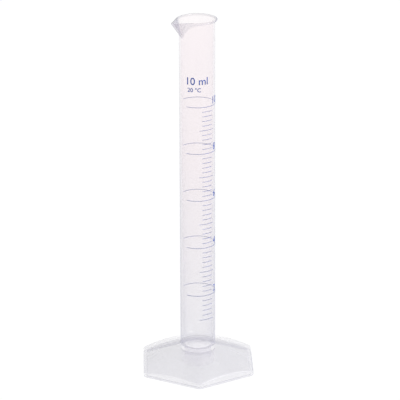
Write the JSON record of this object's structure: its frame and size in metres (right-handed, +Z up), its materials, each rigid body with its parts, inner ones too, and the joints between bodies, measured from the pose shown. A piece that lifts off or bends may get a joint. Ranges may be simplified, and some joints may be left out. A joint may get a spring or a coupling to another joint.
{
  "type": "graduated cylinder",
  "caption": "Tall, narrow translucent plastic measuring cylinder with a pouring lip, a printed millilitre scale and a low hollow hexagonal foot.",
  "frame": {"origin": "centre of the foot's underside, on the tube's axis", "axes": "+Z up along the tube; the scale faces -Y; the pouring lip points along -X, over a corner of the foot"},
  "size_m": [0.0486, 0.0426, 0.14],
  "materials": {
    "tube_plastic": "translucent natural polypropylene, smooth and slightly milky",
    "foot_plastic": "translucent natural polypropylene, smooth, with soft mould marks",
    "scale_ink": "blue printed ink"
  },
  "bodies": {
    "root": {"measuring_tube": "tube_plastic", "hexagonal_foot": "foot_plastic", "ring_graduation_02_ml": "scale_ink", "ring_graduation_04_ml": "scale_ink", "ring_graduation_06_ml": "scale_ink", "ring_graduation_08_ml": "scale_ink", "ring_graduation_10_ml": "scale_ink", "medium_ticks": "scale_ink", "minor_ticks": "scale_ink", "scale_numerals": "scale_ink", "capacity_legend": "scale_ink", "temperature_legend": "scale_ink"}
  },
  "joints": []
}
